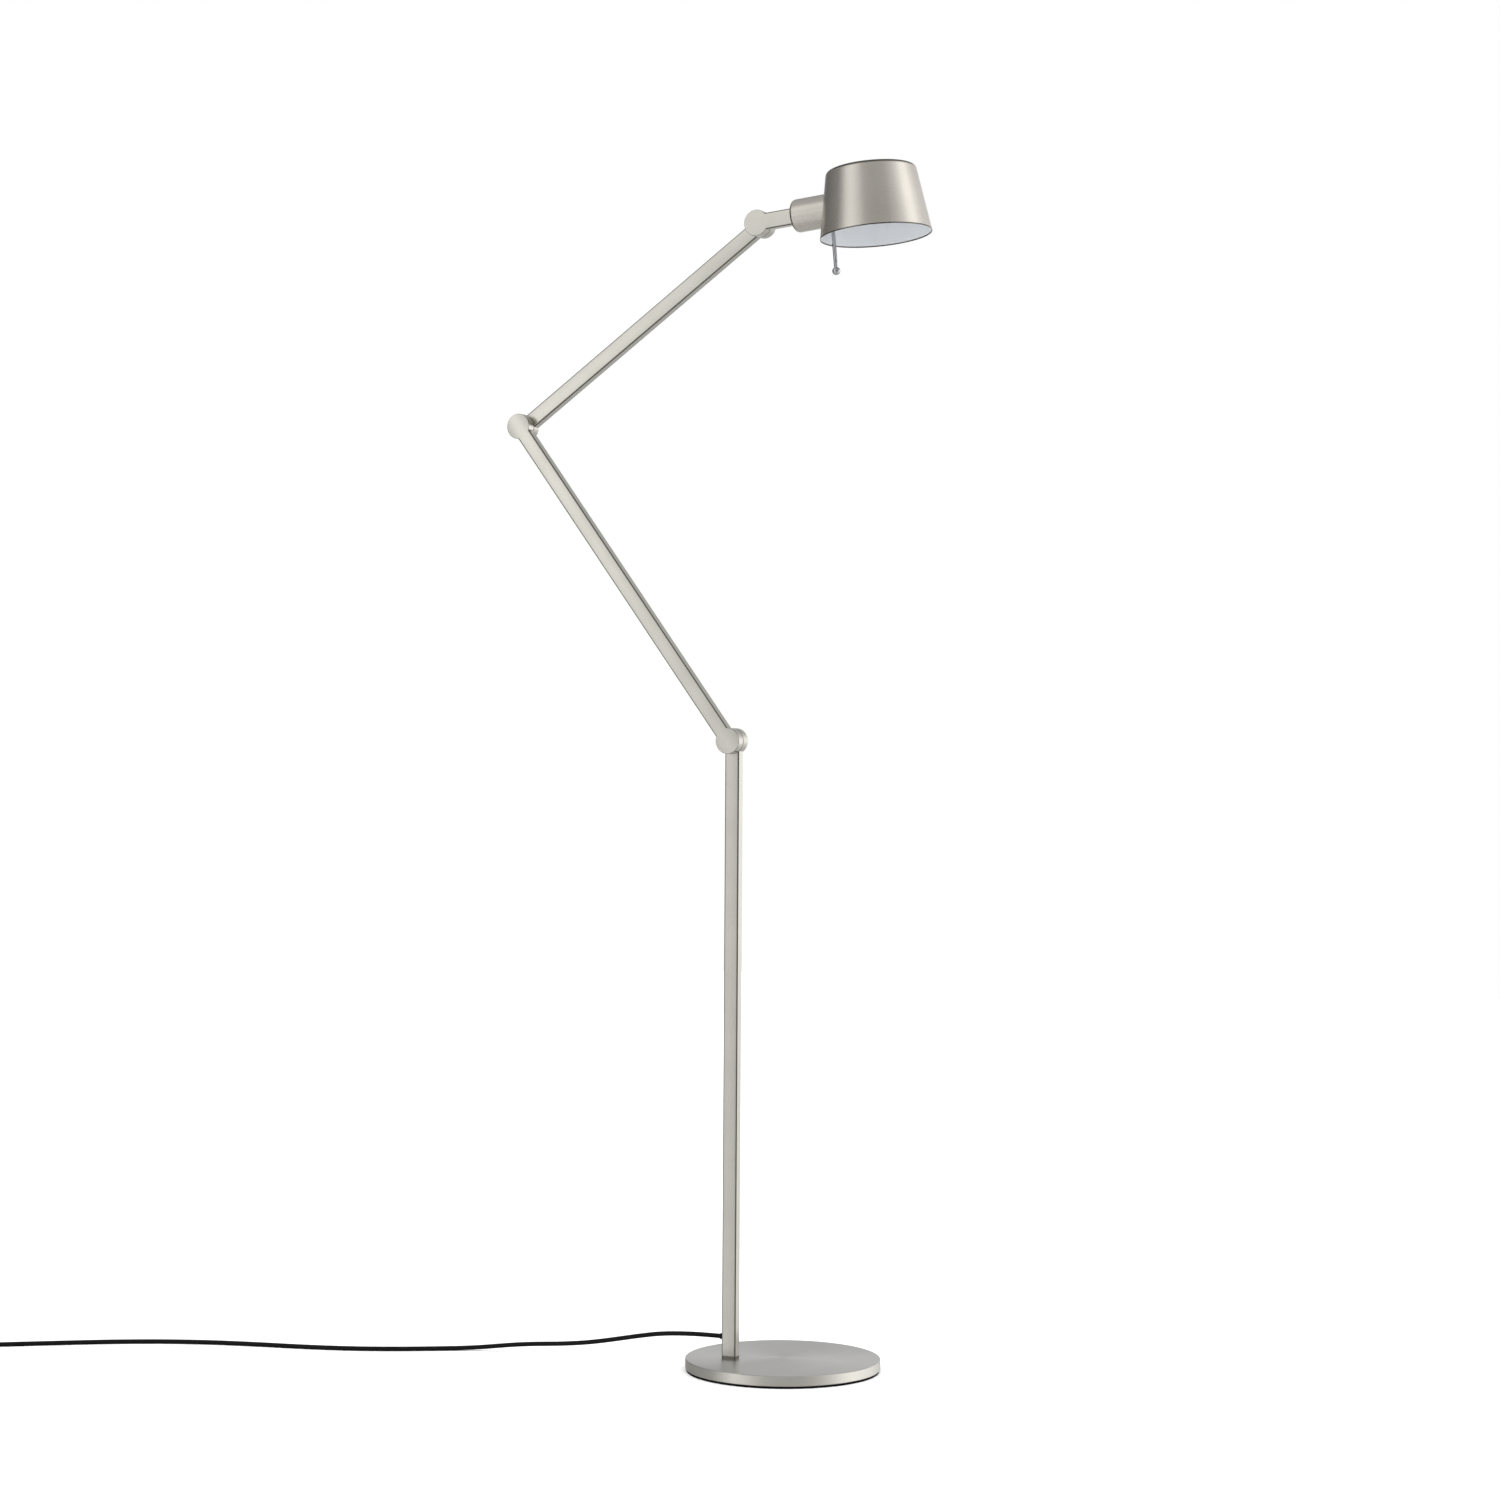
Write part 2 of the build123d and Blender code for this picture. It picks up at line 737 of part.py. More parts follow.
def bulb_outline(radius, neck_radius):
    """The filled outline of a bulb: a round dome drawn in to a neck that ends at the cap."""
    start = bulb_cap_start + bulb_cap_length
    back = bulb_centre_x - 0.8 * radius
    shoulder = Spline([(start, neck_radius), (back, 0.6 * radius)], tangents=[(1, 0), (0.6, 0.8)])
    dome = CenterArc((bulb_centre_x, 0), radius, 0, 180 - degrees(asin(0.6)))
    axis_line = Line((bulb_centre_x + radius, 0), (start, 0))
    neck_line = Line((start, 0), (start, neck_radius))
    return make_face([shoulder, dome, axis_line, neck_line])


def bulb_glass():
    """The thin round glass, open at its neck, where it meets the cap."""
    outside = bulb_outline(bulb_radius, bulb_neck_radius)
    inside = bulb_outline(bulb_radius - bulb_wall, bulb_neck_radius - bulb_wall)
    return head_frame * revolve(outside - inside, axis=Axis.X)


def head_lead():
    """The lead from the nipple's end to the lamp holder's contacts."""
    start = neck_end + nipple_past_neck
    return head_frame * head_cylinder(lead_radius, start, holder_start + holder_base_wall - 0.2)


def head_parts():
    """Everything that turns on the swivel."""
    return {
        "holder_cover": holder_cover(),
        "holder_seat": holder_seat(),
        "lamp_holder": lamp_holder(),
        "shade_bracket": shade_bracket(),
        "shade_ring": shade_ring(),
        "shade": shade(),
        "handle_rod": handle_rod(),
        "handle_ball": handle_ball(),
        "bulb_cap": bulb_cap(),
        "bulb_glass": bulb_glass(),
        "head_lead": head_lead(),
    }


# ---- Cord ----
def cord_start():
    """The middle of the grommet's tip, where the cord leaves the lamp."""
    return (column_x - tube_width / 2 - grommet_outside, column_y, cord_exit_height)


def corner_radii(points):
    """The largest tangent arc that each corner's two runs leave room for."""
    radii = []
    for before, corner, after in zip(points, points[1:], points[2:]):
        run_in = Vector(*corner) - Vector(*before)
        run_out = Vector(*after) - Vector(*corner)
        half_turn = radians(run_in.get_angle(run_out)) / 2
        radii.append(0.45 * min(run_in.length, run_out.length) / tan(half_turn))
    return radii


def cord_tube(name, points):
    """A cord's tube along straight runs joined by tangent arcs. It prints its radii and volumes."""
    radii = corner_radii(points)
    path = FilletPolyline(*points, radius=radii)
    tube = swept_round(path, cord_radius)
    expected = path.length * pi * cord_radius**2
    print(name, "radii", [round(radius) for radius in radii])
    print(name, "length", round(path.length, 1), "volume", round(tube.volume), "expected", round(expected))
    return tube


def cord_coil():
    """The outer shape of the coil: a flat ring as high as its two layers."""
    section = Pos((coil_inner_radius + coil_outer_radius) / 2, 0, coil_height / 2) * (
        Rot(90, 0, 0) * RectangleRounded(coil_outer_radius - coil_inner_radius, coil_height, coil_edge_round)
    )
    return Pos(*coil_centre, 0) * revolve(section, axis=Axis.Z)


# ---- Plug, in a frame with x from the cord's end to the pins ----
plug_frame = Plane(origin=tail_end, x_dir=(*tail_heading, 0), z_dir=(0, 0, 1))


def plug_body():
    """The moulded plug: a tapered sleeve round the cord and a flat six-sided body."""
    half_tail = plug_tail_width / 2
    half_width = plug_width / 2
    start = plug_sleeve_length
    outline = Polyline(
        (start, -half_tail),
        (start + plug_shoulder, -half_width),
        (start + plug_length, -half_width),
        (start + plug_length, half_width),
        (start + plug_shoulder, half_width),
        (start, half_tail),
        close=True,
    )
    body = Pos(0, 0, -plug_height / 2) * extrude(make_face(outline), plug_height)
    body = fillet(body.edges(), plug_edge_round)
    sleeve_end = start + plug_edge_round
    sleeve = Cone(cord_radius + plug_sleeve_wall, plug_sleeve_radius, sleeve_end, align=on_plane)
    return plug_frame * (body + Rot(0, 90, 0) * sleeve)


def plug_pins():
    """The two round pins, seated in the body's front face."""
    start = plug_sleeve_length + plug_length
    pins = []
    for side in (-1, 1):
        pin = lying_bar(pin_radius, pin_length)
        tip = pin.edges().filter_by(GeomType.CIRCLE).sort_by(Axis.X)[-1]
        pins.append(plug_frame * Pos(start, side * pin_spacing / 2, 0) * fillet(tip, pin_tip_round))
    return Compound(children=pins)


def cord_parts():
    """The free cord, its coil, its tail and the plug."""
    return {
        "power_cord": cord_tube("power_cord", [cord_start()] + cord_route),
        "cord_coil": cord_coil(),
        "cord_tail": cord_tube("cord_tail", [tail_start, tail_middle, tail_end]),
        "plug_body": plug_body(),
        "plug_pins": plug_pins(),
    }


parts = {
    **column_parts(),
    **joint_hardware("lower_joint", lower_joint, -90),
    **middle_arm_parts(),
    **joint_hardware("elbow", elbow_joint, upper_arm_angle),
    **upper_arm_parts(),
    **joint_hardware("head_joint", head_joint, upper_arm_angle + 180),
    **neck_parts(),
    **head_parts(),
    **cord_parts(),
}

os.makedirs("parts", exist_ok=True)
for node, solid in parts.items():
    export_step(solid, f"parts/{node}.step")
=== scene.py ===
import json
import math

import bpy
from mathutils import Matrix, Vector


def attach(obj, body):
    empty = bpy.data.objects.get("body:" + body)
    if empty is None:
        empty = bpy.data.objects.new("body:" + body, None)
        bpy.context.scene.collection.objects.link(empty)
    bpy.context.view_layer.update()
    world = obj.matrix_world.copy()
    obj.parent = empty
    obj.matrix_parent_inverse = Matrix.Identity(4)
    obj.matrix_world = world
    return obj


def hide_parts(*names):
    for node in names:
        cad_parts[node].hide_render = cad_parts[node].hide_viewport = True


# Adjustable arm floor lamp in satin nickel. Metres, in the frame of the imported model: +Z up, the origin
# at the centre of the base's underside, +X in the plane in which the arms fold, +Y to the back.

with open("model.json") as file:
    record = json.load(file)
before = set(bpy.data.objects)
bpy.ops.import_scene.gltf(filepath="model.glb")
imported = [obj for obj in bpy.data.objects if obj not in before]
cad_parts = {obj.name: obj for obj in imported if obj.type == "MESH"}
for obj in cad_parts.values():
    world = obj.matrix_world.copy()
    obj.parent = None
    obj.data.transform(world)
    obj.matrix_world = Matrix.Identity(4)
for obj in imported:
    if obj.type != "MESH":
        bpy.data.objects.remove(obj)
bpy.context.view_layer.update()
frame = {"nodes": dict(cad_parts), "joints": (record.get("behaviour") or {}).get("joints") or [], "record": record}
nodes = frame["nodes"]
joints = {joint["name"]: joint for joint in frame["joints"]}
MM = 0.001

# ---- Places and directions taken from the model ----
lower_joint = Vector(joints["lower_joint"]["pos_m"])
elbow_joint = Vector(joints["elbow_joint"]["pos_m"])
head_joint = Vector(joints["head_joint"]["pos_m"])
neck_start = Vector(joints["head_swivel"]["pos_m"])
UPRIGHT = Vector((0, 0, 1))
FOLD_AXIS = Vector((0, 1, 0))
middle_arm_line = (elbow_joint - lower_joint).normalized()
upper_arm_line = (head_joint - elbow_joint).normalized()
neck_line = Vector(joints["head_swivel"]["axis"]).normalized()
shade_axis = neck_line.cross(FOLD_AXIS)
SHADE_FROM_HEAD_JOINT = 160.5 * MM  # along the neck, to the shade's own axis
SHADE_HEIGHT = 84 * MM
shade_centre = neck_start + neck_line * SHADE_FROM_HEAD_JOINT

# ---- Camera ----
CAMERA_AZIMUTH = math.radians(25.0)
CAMERA_DISTANCE = 4.0518
CAMERA_HEIGHT = 0.773
CAMERA_TURN = math.radians(0.66)
CAMERA_TILT = math.radians(0.29)
CAMERA_ROLL = math.radians(0.35)
CAMERA_LENS_MM = 75.88
SENSOR_MM = 36.0
NEAREST_SEEN = 0.1
FARTHEST_SEEN = 60


def make_camera():
    """A long lens at chest height, a little to the lamp's right, turned slightly off the lamp."""
    heading = CAMERA_AZIMUTH + CAMERA_TURN
    flat_forward = Vector((-math.sin(heading), math.cos(heading), 0))
    forward = flat_forward * math.cos(CAMERA_TILT) + UPRIGHT * math.sin(CAMERA_TILT)
    level = Vector((math.cos(heading), math.sin(heading), 0))
    upward = level.cross(forward)
    right = level * math.cos(CAMERA_ROLL) + upward * math.sin(CAMERA_ROLL)
    up = upward * math.cos(CAMERA_ROLL) - level * math.sin(CAMERA_ROLL)
    place = Vector((math.sin(CAMERA_AZIMUTH), -math.cos(CAMERA_AZIMUTH), 0)) * CAMERA_DISTANCE
    place.z = CAMERA_HEIGHT
    data = bpy.data.cameras.new("camera")
    data.lens = CAMERA_LENS_MM
    data.sensor_width = SENSOR_MM
    data.clip_start = NEAREST_SEEN
    data.clip_end = FARTHEST_SEEN
    camera = bpy.data.objects.new("camera", data)
    camera.matrix_world = Matrix.Translation(place) @ Matrix((right, up, -forward)).transposed().to_4x4()
    bpy.context.scene.collection.objects.link(camera)
    bpy.context.scene.camera = camera


# ---- Cord: the route's points, in metres, from the grommet's tip to the coil ----
CORD_DIAMETER = 6 * MM
FLOOR_LEVEL = 0.00305  # of the middle of a cord that lies on the floor
CORD_EXIT = (-0.072, -0.036, 0.0434)
CORD_ROUTE = [
    (-0.095, -0.036, 0.0434),
    (-0.126, -0.036, 0.0422),
    (-0.158, -0.036, 0.0394),
    (-0.188, -0.036, 0.034),
    (-0.217, -0.0362, 0.028),
    (-0.246, -0.0368, 0.0222),
    (-0.275, -0.0384, 0.0176),
    (-0.305, -0.0416, 0.0146),
    (-0.335, -0.0456, 0.0126),
    (-0.362, -0.0496, 0.0102),
    (-0.386, -0.0544, 0.0073),
    (-0.409, -0.0624, 0.0048),
    (-0.433, -0.074, 0.0034),
    (-0.463, -0.091, FLOOR_LEVEL),
    (-0.506, -0.117, FLOOR_LEVEL),
    (-0.560, -0.142, FLOOR_LEVEL),
    (-0.620, -0.160, FLOOR_LEVEL),
    (-0.685, -0.173, FLOOR_LEVEL),
    (-0.748, -0.189, FLOOR_LEVEL),
    (-0.808, -0.213, FLOOR_LEVEL),
    (-0.866, -0.245, FLOOR_LEVEL),
    (-0.920, -0.283, FLOOR_LEVEL),
    (-0.974, -0.3225, FLOOR_LEVEL),
    (-1.004, -0.3447, FLOOR_LEVEL),
    (-1.0228, -0.3586, FLOOR_LEVEL),
]
TAIL_ROUTE = [
    (-1.0981, -0.3431, 0.0087),
    (-1.1074, -0.331, 0.0079),
    (-1.1162, -0.3199, 0.00685),
]
COIL_CENTRE = (-1.0574, -0.3358)
COIL_ENTRY_ANGLE = math.radians(-53.13)
COIL_TURNS = 4.244
COIL_OUTER_RADIUS = 39 * MM
COIL_INNER_RADIUS = 25.4 * MM
TURN_SPACING = 6.2 * MM
COIL_UPPER_LEVEL = 9.3 * MM
CLIMB_START = 2.2
CLIMB_END = 2.5
POINTS_PER_TURN = 16


def coil_point(turn):
    """A point of the coil: in along the floor, up, and out again over the first layer."""
    climb = min(1, max(0, (turn - CLIMB_START) / (CLIMB_END - CLIMB_START)))
    height = FLOOR_LEVEL + (COIL_UPPER_LEVEL - FLOOR_LEVEL) * climb
    inward = max(COIL_INNER_RADIUS, COIL_OUTER_RADIUS - TURN_SPACING * turn)
    radius = inward if turn < CLIMB_END else COIL_INNER_RADIUS + TURN_SPACING * (turn - CLIMB_END)
    angle = COIL_ENTRY_ANGLE - 2 * math.pi * turn
    return (
        COIL_CENTRE[0] + radius * math.cos(angle),
        COIL_CENTRE[1] + radius * math.sin(angle),
        height,
    )


def make_cord():
    """The round mains cord as one smooth spline from the grommet to the plug. Its bevel is 1 m deep, and
    each point's radius scales that down, so that the curve's bounding box is no larger than the cord."""
    steps = round(COIL_TURNS * POINTS_PER_TURN)
    coil = [coil_point(COIL_TURNS * step / steps) for step in range(steps + 1)]
    points = [CORD_EXIT] + CORD_ROUTE + coil + TAIL_ROUTE
    curve = bpy.data.curves.new("mains_cord", "CURVE")
    curve.dimensions = "3D"
    curve.bevel_depth = 1.0
    curve.bevel_resolution = 4
    curve.resolution_u = 6
    curve.use_fill_caps = True
    spline = curve.splines.new("NURBS")
    spline.points.add(len(points) - 1)
    for place, point in zip(points, spline.points):
        point.co = (*place, 1)
        point.radius = CORD_DIAMETER / 2
    spline.order_u = 3
    spline.use_endpoint_u = True
    cord = bpy.data.objects.new("mains_cord", curve)
    bpy.context.scene.collection.objects.link(cord)
    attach(cord, "stand")
    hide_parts("power_cord", "cord_coil", "cord_tail")
    return cord


# ---- Materials: shared helpers ----
# A Mix node has a set of sockets for plain values and one for colours, under the same names, so they are
# called by number.
MIX_SHARE = 0
MIX_VALUE_A = 2
MIX_VALUE_B = 3
MIXED_VALUE = 0
MIX_COLOUR_A = 6
MIX_COLOUR_B = 7
MIXED_COLOUR = 2


def linear(code):
    """An sRGB hex colour as linear red, green, blue and alpha."""
    channels = [int(code[i : i + 2], 16) / 255 for i in (1, 3, 5)]
    return [c / 12.92 if c <= 0.04045 else ((c + 0.055) / 1.055) ** 2.4 for c in channels] + [1]


def set_sockets(tree, node, inputs):
    """Gives each socket of a node, by name or number, its value or its link."""
    for socket, value in inputs.items():
        if isinstance(value, bpy.types.NodeSocket):
            tree.links.new(value, node.inputs[socket])
        else:
            node.inputs[socket].default_value = value


def add(tree, kind, inputs, **settings):
    """Adds a shader node with its own settings, and gives its sockets their inputs."""
    node = tree.nodes.new("ShaderNode" + kind)
    for name, value in settings.items():
        setattr(node, name, value)
    set_sockets(tree, node, inputs)
    return node


def new_material(name):
    """A material with an untouched Principled shader, as (material, its tree, the shader)."""
    material = bpy.data.materials.new(name)
    material.use_nodes = True
    tree = material.node_tree
    tree.nodes.clear()
    shader = add(tree, "BsdfPrincipled", {})
    add(tree, "OutputMaterial", {"Surface": shader.outputs["BSDF"]})
    return material, tree, shader


# ---- Speckled finishes: moulded, cut, cast, polished or plated, with no direction in their grain ----
CLOUD_GRAINS = 25  # a cloud in the colour is as wide as this many grains
SPECKLE_RANGE = (0.12, 0.4)  # the grain's noise times the cloud's, from the dark tone to the light one
METAL = {"Metallic": 1.0}
SOFT_SHEEN = {"IOR": 1.5, "Specular IOR Level": 0.2}  # foam, rubber and soft PVC scatter their gloss


def speckled(name, tones, grain_mm, relief_mm, roughness, sockets):
    """A surface with grain of a real size in its colour, its roughness and its relief. The sockets are the
    shader's others, each the same all over."""
    material, tree, shader = new_material(name)
    place = add(tree, "TexCoord", {}).outputs["Object"]
    grain = add(
        tree,
        "TexNoise",
        {"Vector": place, "Scale": 1 / (grain_mm * MM), "Detail": 4.0, "Roughness": 0.6},
    ).outputs["Fac"]
    cloud = add(
        tree,
        "TexNoise",
        {"Vector": place, "Scale": 1 / (CLOUD_GRAINS * grain_mm * MM), "Detail": 2.0},
    ).outputs["Fac"]
    speckle = add(tree, "Math", {0: grain, 1: cloud}, operation="MULTIPLY").outputs[0]
    share = add(
        tree,
        "MapRange",
        {"Value": speckle, "From Min": SPECKLE_RANGE[0], "From Max": SPECKLE_RANGE[1]},
    ).outputs[0]
    colour = add(
        tree,
        "Mix",
        {MIX_SHARE: share, MIX_COLOUR_A: linear(tones[0]), MIX_COLOUR_B: linear(tones[1])},
        data_type="RGBA",
    ).outputs[MIXED_COLOUR]
    rough = add(tree, "MapRange", {"Value": grain, "To Min": roughness[0], "To Max": roughness[1]})
    relief = add(tree, "Bump", {"Height": grain, "Distance": relief_mm * MM, "Strength": 0.5})
    surface = {"Base Color": colour, "Roughness": rough.outputs[0], "Normal": relief.outputs[0]}
    set_sockets(tree, shader, {**surface, **sockets})
    return material


def handle_chrome():
    """Bright chrome plate on turned brass: a clear mirror with a faint haze from handling."""
    return speckled(
        "polished_chrome_plate",
        tones=("#ADAEB0", "#BEBFC1"),
        grain_mm=3.0,
        relief_mm=0.002,
        roughness=(0.05, 0.11),
        sockets=METAL,
    )


def base_pad_foam():
    """Closed-cell EVA foam, cut from sheet: dull black with small open cells at its cut edge."""
    return speckled(
        "black_eva_foam",
        tones=("#040404", "#0C0C0C"),
        grain_mm=0.8,
        relief_mm=0.25,
        roughness=(0.85, 0.97),
        sockets=SOFT_SHEEN,
    )


def grommet_rubber():
    """Moulded rubber: deep black with a soft sheen and a fine moulded grain."""
    return speckled(
        "black_moulded_rubber",
        tones=("#050505", "#0C0C0C"),
        grain_mm=0.5,
        relief_mm=0.04,
        roughness=(0.5, 0.65),
        sockets=SOFT_SHEEN,
    )


def cord_and_plug_pvc():
    """Soft PVC, extruded or moulded: black and slightly shiny, with the faint waviness of a sheath."""
    return speckled(
        "black_extruded_pvc",
        tones=("#030303", "#080808"),
        grain_mm=2.5,
        relief_mm=0.05,
        roughness=(0.5, 0.6),
        sockets=SOFT_SHEEN,
    )


def plug_pin_nickel():
    """Nickel-plated brass, turned and tumbled: bright, yellowish grey."""
    return speckled(
        "nickel_plated_brass",
        tones=("#CFC8B8", "#DED8CA"),
        grain_mm=0.6,
        relief_mm=0.004,
        roughness=(0.18, 0.28),
        sockets=METAL,
    )


def hardware_zinc():
    """Bright zinc plate on turned steel: bluish grey with a cloudy passivated film."""
    return speckled(
        "bright_zinc_plate",
        tones=("#AEB4BC", "#CDD1D5"),
        grain_mm=1.2,
        relief_mm=0.01,
        roughness=(0.28, 0.42),
        sockets=METAL,
    )


def washer_spring_steel():
    """Hardened spring steel, blued in oil: dark grey with a soft gloss."""
    return speckled(
        "blued_spring_steel",
        tones=("#3A3E46", "#565B63"),
        grain_mm=1.0,
        relief_mm=0.01,
        roughness=(0.35, 0.5),
        sockets=METAL,
    )


def washer_nylon():
    """Moulded nylon, for the friction washers and the cord's anchor: dark and waxy."""
    return speckled(
        "black_moulded_nylon",
        tones=("#121212", "#222222"),
        grain_mm=0.7,
        relief_mm=0.02,
        roughness=(0.45, 0.6),
        sockets={"IOR": 1.53},
    )


def lead_silicone():
    """Silicone-rubber wire insulation: off-white and matt, with a dusting of talc."""
    return speckled(
        "silicone_wire_insulation",
        tones=("#C9C3B4", "#E0DBCF"),
        grain_mm=0.9,
        relief_mm=0.03,
        roughness=(0.6, 0.78),
        sockets={"IOR": 1.43},
    )


def lamp_holder_thermoset():
    """Moulded heat-proof thermoset: white, hard and half glossy, with a fine flow grain."""
    return speckled(
        "white_thermoset",
        tones=("#DCDBD5", "#EDECE8"),
        grain_mm=0.8,
        relief_mm=0.01,
        roughness=(0.32, 0.42),
        sockets={"IOR": 1.55},
    )


def bracket_enamel():
    """Die-cast zinc under white stoved enamel: smooth with a slight orange peel."""
    return speckled(
        "white_stoved_enamel",
        tones=("#E2E4E5", "#F1F3F4"),
        grain_mm=1.5,
        relief_mm=0.03,
        roughness=(0.3, 0.4),
        sockets={"IOR": 1.5},
    )


def bulb_frosted_glass():
    """Acid-frosted soda glass: milky, and bright where light comes through it."""
    return speckled(
        "acid_frosted_glass",
        tones=("#ECEDEA", "#FAFAF8"),
        grain_mm=0.6,
        relief_mm=0.01,
        roughness=(0.38, 0.5),
        sockets={"IOR": 1.52, "Transmission Weight": 0.55},
    )


CAP_THREAD_PITCH = 2.8 * MM
CAP_THREAD_DEPTH = 0.5 * MM


def bulb_cap_metal():
    """Nickel-plated aluminium, rolled with a screw thread, which shows as fine ridges round it."""
    material = speckled(
        "plated_screw_cap",
        tones=("#BFC0C2", "#D6D7D9"),
        grain_mm=0.9,
        relief_mm=0.01,
        roughness=(0.25, 0.35),
        sockets=METAL,
    )
    tree = material.node_tree
    place = add(tree, "TexCoord", {}).outputs["Object"]
    along = add(tree, "VectorMath", {0: place, 1: neck_line}, operation="DOT_PRODUCT").outputs["Value"]
    turns = 2 * math.pi / CAP_THREAD_PITCH
    phase = add(tree, "Math", {0: along, 1: turns}, operation="MULTIPLY").outputs[0]
    ridge = add(tree, "Math", {0: phase}, operation="SINE").outputs[0]
    relief = add(tree, "Bump", {"Height": ridge, "Distance": CAP_THREAD_DEPTH, "Strength": 1.0})
    set_sockets(tree, tree.nodes["Principled BSDF"], {"Normal": relief.outputs[0]})
    return material


# ---- Satin nickel: steel or aluminium, brushed with a fine belt and nickel plated ----
NICKEL_TONES = ("#C2C0B7", "#CECCC4")
COOL_NICKEL_TONES = ("#C0BFBD", "#CBCAC9")  # the base is plated by itself and comes out less warm
SPUN_NICKEL_TONES = ("#C8C3BA", "#D3CEC6")  # the shade and its cover, spun from thin sheet, are warmer
FOOT_PAINTED_SHADOW_TONES = ("#77746C", "#858279")  # painted shadow: the foot is much darker to stand in for the contact shade where the column meets the base
PAINTED_RIM_HIGHLIGHT_TONE = "#DAD7CF"  # painted highlight: the base's rim is lightened to stand in for the bright floor that it mirrors
PAINTED_EDGE_SHADE_TONE = "#605D56"  # painted shade: the rounded edges are darkened to stand in for the dark parts of the room that they mirror
PAINTED_EDGE_SHADE_RANGE = (0.06, 0.2)  # where the painted edge shade starts and is full: 0 is flat, 0.25 is halfway round
BRUSH_WIDTH_MM = 0.9  # the real lines are about 0.1 mm wide, drawn coarser so that they show
BRUSH_LENGTH_MM = 180.0
BRUSH_DEPTH_MM = 0.0035
LINES_PER_METRE = 1 / (BRUSH_WIDTH_MM * MM)
STROKES_PER_METRE = 1 / (BRUSH_LENGTH_MM * MM)
TURNED_STREAKS = 1.2  # streaks round a turned piece, per radian
LINE_RANGE = (0.3, 0.7)  # the noise of the lines, from the smoothest to the roughest
PLATING_CLOUD_MM = 45.0
TONE_RANGE = (0.6, 1.4)  # the lines' noise plus the cloud's, from the first tone to the second
BELT_CROWN = 10.0  # how far a normal leans, per metre from the middle of a flat face
ENAMEL_TONES = ("#CBCED2", "#D7DADD")
ENAMEL_ROUGHNESS = 0.42
BARE_RIM_MM = 1.4  # the enamel inside the shade stops short of its rim; that band at the rim, inside and out, carries painted shade
ENAMEL_START = BARE_RIM_MM * MM - SHADE_HEIGHT / 2  # from the shade's middle, up along its axis


def piece_places(tree, centre, axis):
    """A point's place from its piece's centre, its distance along the piece's axis, and its offset from
    that axis, all with the piece at rest."""
    origin_place = add(tree, "TexCoord", {}).outputs["Object"]
    place = add(tree, "VectorMath", {0: origin_place, 1: centre}, operation="SUBTRACT").outputs[0]
    along = add(tree, "VectorMath", {0: place, 1: axis}, operation="DOT_PRODUCT").outputs["Value"]
    on_axis = add(tree, "VectorMath", {0: axis, "Scale": along}, operation="SCALE").outputs[0]
    aside = add(tree, "VectorMath", {0: place, 1: on_axis}, operation="SUBTRACT").outputs[0]
    return place, along, aside


def brush_lines(tree, along, aside, turned):
    """The noise of the lines that the brush left: along the axis, or round it on a turned piece."""
    if turned:
        radius = add(tree, "VectorMath", {0: aside}, operation="LENGTH").outputs["Value"]
        heading = add(tree, "VectorMath", {0: aside}, operation="NORMALIZE").outputs[0]
        depth = add(tree, "Math", {0: radius, 1: along}, operation="ADD").outputs[0]
        spot = add(tree, "VectorMath", {0: heading, "Scale": TURNED_STREAKS}, operation="SCALE")
        level = add(tree, "Math", {0: depth, 1: LINES_PER_METRE}, operation="MULTIPLY")
    else:
        spot = add(tree, "VectorMath", {0: aside, "Scale": LINES_PER_METRE}, operation="SCALE")
        level = add(tree, "Math", {0: along, 1: STROKES_PER_METRE}, operation="MULTIPLY")
    noise = add(
        tree,
        "TexNoise",
        {
            "Vector": spot.outputs[0],
            "W": level.outputs[0],
            "Scale": 1.0,
            "Detail": 3.0,
            "Roughness": 0.65,
        },
        noise_dimensions="4D",
    )
    return noise.outputs["Fac"]


def across_brush(tree, place, normal, axis, turned):
    """The shader's tangent: the direction across the brush lines, in which the gloss spreads."""
    if turned:
        brush = add(tree, "VectorMath", {0: axis, 1: place}, operation="CROSS_PRODUCT").outputs[0]
    else:
        brush = axis
    across = add(tree, "VectorMath", {0: normal, 1: brush}, operation="CROSS_PRODUCT").outputs[0]
    return add(
        tree,
        "VectorTransform",
        {0: across},
        vector_type="VECTOR",
        convert_from="OBJECT",
        convert_to="WORLD",
    ).outputs[0]


def belt_crown(tree, place, normal, axis):
    """The normal of a flat face that the brushing belt has left a little crowned across its width."""
    width = axis.cross(FOLD_AXIS)
    offset = add(tree, "VectorMath", {0: place, 1: width}, operation="DOT_PRODUCT").outputs["Value"]
    lean = add(tree, "Math", {0: offset, 1: BELT_CROWN}, operation="MULTIPLY").outputs[0]
    shift = add(tree, "VectorMath", {0: width, "Scale": lean}, operation="SCALE").outputs[0]
    crowned = add(tree, "VectorMath", {0: normal, 1: shift}, operation="ADD").outputs[0]
    return add(
        tree,
        "VectorTransform",
        {0: crowned},
        vector_type="NORMAL",
        convert_from="OBJECT",
        convert_to="WORLD",
    ).outputs[0]


def painted_edge_shade_share(tree, normal, axis):
    """How far a surface has turned from a face into a rounded edge, from 0 to 1: the share of painted edge shade
    there.
    """
    facing = add(tree, "VectorMath", {0: normal, 1: axis}, operation="DOT_PRODUCT").outputs["Value"]
    square = add(tree, "Math", {0: facing, 1: 2.0}, operation="POWER").outputs[0]
    rest = add(tree, "Math", {0: 1.0, 1: square}, operation="SUBTRACT").outputs[0]
    both = add(tree, "Math", {0: square, 1: rest}, operation="MULTIPLY").outputs[0]
    return add(
        tree,
        "MapRange",
        {"Value": both, "From Min": PAINTED_EDGE_SHADE_RANGE[0], "From Max": PAINTED_EDGE_SHADE_RANGE[1]},
    ).outputs[0]


